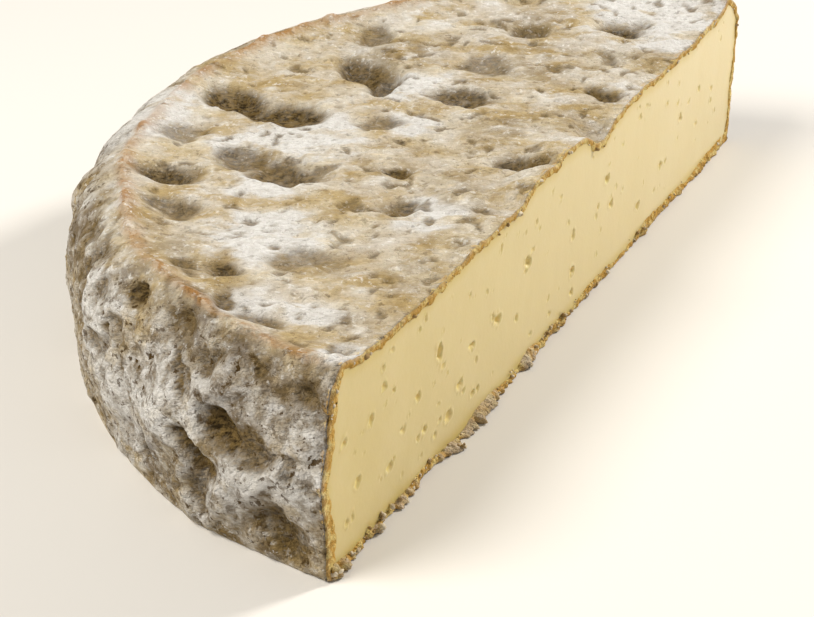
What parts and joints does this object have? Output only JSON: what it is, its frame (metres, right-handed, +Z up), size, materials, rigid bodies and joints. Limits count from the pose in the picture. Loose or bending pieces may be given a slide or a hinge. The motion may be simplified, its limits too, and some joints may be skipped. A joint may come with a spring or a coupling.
{
  "type": "half wheel of tomme cheese",
  "caption": "Half wheel of a semi-hard tomme cheese lying on its base: mould-grown, hollowed grey-beige rind with a raised rim, cut straight through to pale paste with small eyes.",
  "frame": {"origin": "under the middle of the piece's box, on the board it lies on", "axes": "+Z up, +X along the cut towards its far end in the picture, the cut faces -Y"},
  "size_m": [0.223, 0.1163, 0.0435],
  "materials": {
    "rind": null,
    "paste": null
  },
  "bodies": {
    "root": {"cheese": "rind"}
  },
  "joints": []
}
